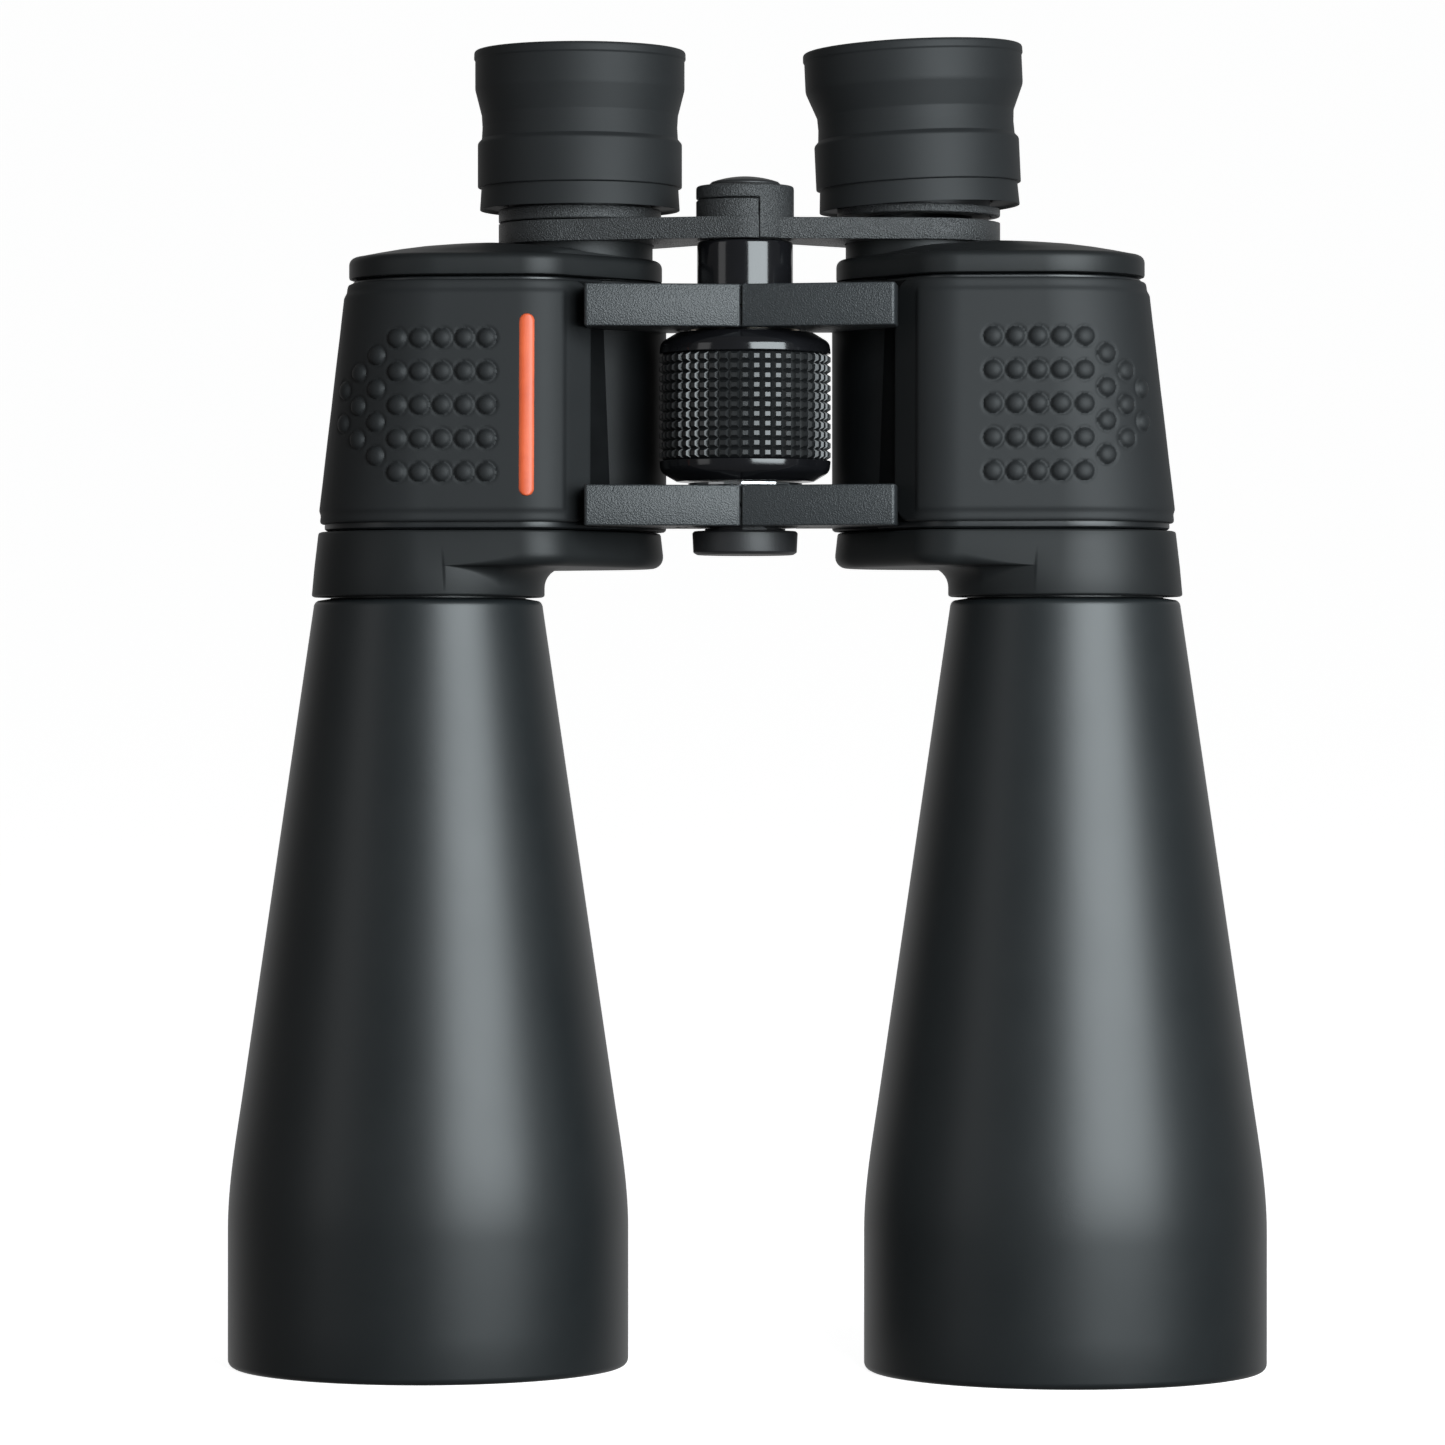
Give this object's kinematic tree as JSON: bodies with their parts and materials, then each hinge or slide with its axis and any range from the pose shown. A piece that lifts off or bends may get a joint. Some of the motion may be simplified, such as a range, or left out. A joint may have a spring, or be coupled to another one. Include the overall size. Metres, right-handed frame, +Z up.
{
  "type": "astronomy binoculars",
  "caption": "Folding Porro-prism binoculars with large objective barrels, centre focus knob, moving eyepiece bridge, rubber eyecups and a capped tripod socket.",
  "frame": {"origin": "midway between the two objective axes, on the plane of the objective rims", "axes": "+Z up the barrels from the objective rims to the eyecups, +X from the left half to the right half, +Y from the focus knob's front to the back of the housings"},
  "size_m": [0.2192, 0.0846, 0.2788],
  "materials": {
    "satin_paint": "satin black paint with a fine grain",
    "crinkle_paint": "crinkled black paint",
    "gloss_plastic": "gloss black",
    "matte_plastic": "matte black",
    "rubber": "matte black rubber",
    "gloss_metal": "polished black anodised",
    "black_metal": "matte black anodised",
    "brass": "turned",
    "steel": "brushed",
    "glass": "coated optical glass"
  },
  "bodies": {
    "left_half": {"prism_housing_left": "crinkle_paint", "grip_panel_left": "rubber", "bottom_cover_left": "satin_paint", "top_cover_left": "satin_paint", "strap_lug_left": "steel", "objective_barrel_left": "satin_paint", "objective_cell_left": "black_metal", "objective_crown_lens_left": "glass", "objective_flint_lens_left": "glass", "objective_retaining_ring_left": "black_metal", "upper_prism_left": "glass", "lower_prism_left": "glass", "prism_shelf_left": "black_metal", "upper_hinge_bush": "brass", "lower_hinge_axle": "black_metal", "focus_thrust_washer": "steel"},
    "right_half": {"prism_housing_right": "crinkle_paint", "grip_panel_right": "rubber", "bottom_cover_right": "satin_paint", "top_cover_right": "satin_paint", "strap_lug_right": "steel", "objective_barrel_right": "satin_paint", "objective_cell_right": "black_metal", "objective_crown_lens_right": "glass", "objective_flint_lens_right": "glass", "objective_retaining_ring_right": "black_metal", "upper_prism_right": "glass", "lower_prism_right": "glass", "prism_shelf_right": "black_metal"},
    "knob": {"focus_knob": "gloss_plastic"},
    "carriage": {"focus_spindle": "gloss_metal", "bridge_arm_left": "crinkle_paint", "bridge_screw": "black_metal", "eyepiece_tube_left": "satin_paint", "field_lens_left": "glass", "ocular_housing_left": "black_metal", "eye_lens_left": "glass", "eyepiece_collar_left": "satin_paint", "eyecup_left": "rubber"},
    "right_bridge": {"bridge_arm_right": "crinkle_paint", "eyepiece_tube_right": "satin_paint", "field_lens_right": "glass"},
    "right_ocular": {"ocular_housing_right": "black_metal", "eye_lens_right": "glass"},
    "right_eyecup": {"diopter_ring": "satin_paint", "eyecup_right": "rubber"},
    "cap_stud": {"tripod_cap_stud": "steel"},
    "cap": {"tripod_cap": "matte_plastic"}
  },
  "joints": [
    {"name": "hinge_fold", "type": "hinge", "parent": "left_half", "child": "right_half", "pos_m": [0, -0.0025, 0.2], "axis": [0, 0, 1], "range_deg": [0, 45]},
    {"name": "focus_turn", "type": "hinge", "parent": "left_half", "child": "knob", "pos_m": [0, -0.0025, 0.2], "axis": [0, 0, 1], "range_deg": [-270, 90]},
    {"name": "focus_travel", "type": "slide", "parent": "left_half", "child": "carriage", "axis": [0, 0, 1], "range_m": [-0.002, 0.006]},
    {"name": "bridge_fold", "type": "hinge", "parent": "carriage", "child": "right_bridge", "pos_m": [0, -0.0025, 0.24], "axis": [0, 0, 1], "range_deg": [0, 45]},
    {"name": "diopter_travel", "type": "slide", "parent": "right_bridge", "child": "right_ocular", "axis": [0, 0, 1], "range_m": [-0.001, 0.001]},
    {"name": "diopter_turn", "type": "hinge", "parent": "right_ocular", "child": "right_eyecup", "pos_m": [0.0361, 0.0113, 0.25], "axis": [0, 0, 1], "range_deg": [-60, 60]},
    {"name": "cap_travel", "type": "slide", "parent": "left_half", "child": "cap_stud", "axis": [0, 0, -1], "range_m": [0, 0.00635]},
    {"name": "cap_turn", "type": "hinge", "parent": "cap_stud", "child": "cap", "pos_m": [0, -0.0025, 0.172], "axis": [0, 0, -1], "range_deg": [0, 1800]}
  ],
  "couplings": [
    {"joint": "focus_turn", "follows": "focus_travel", "rad_per_m": -785.39},
    {"joint": "bridge_fold", "follows": "hinge_fold", "ratio": 1},
    {"joint": "diopter_travel", "follows": "diopter_turn", "m_per_rad": 0.000954},
    {"joint": "cap_turn", "follows": "cap_travel", "rad_per_m": 4947.3}
  ]
}
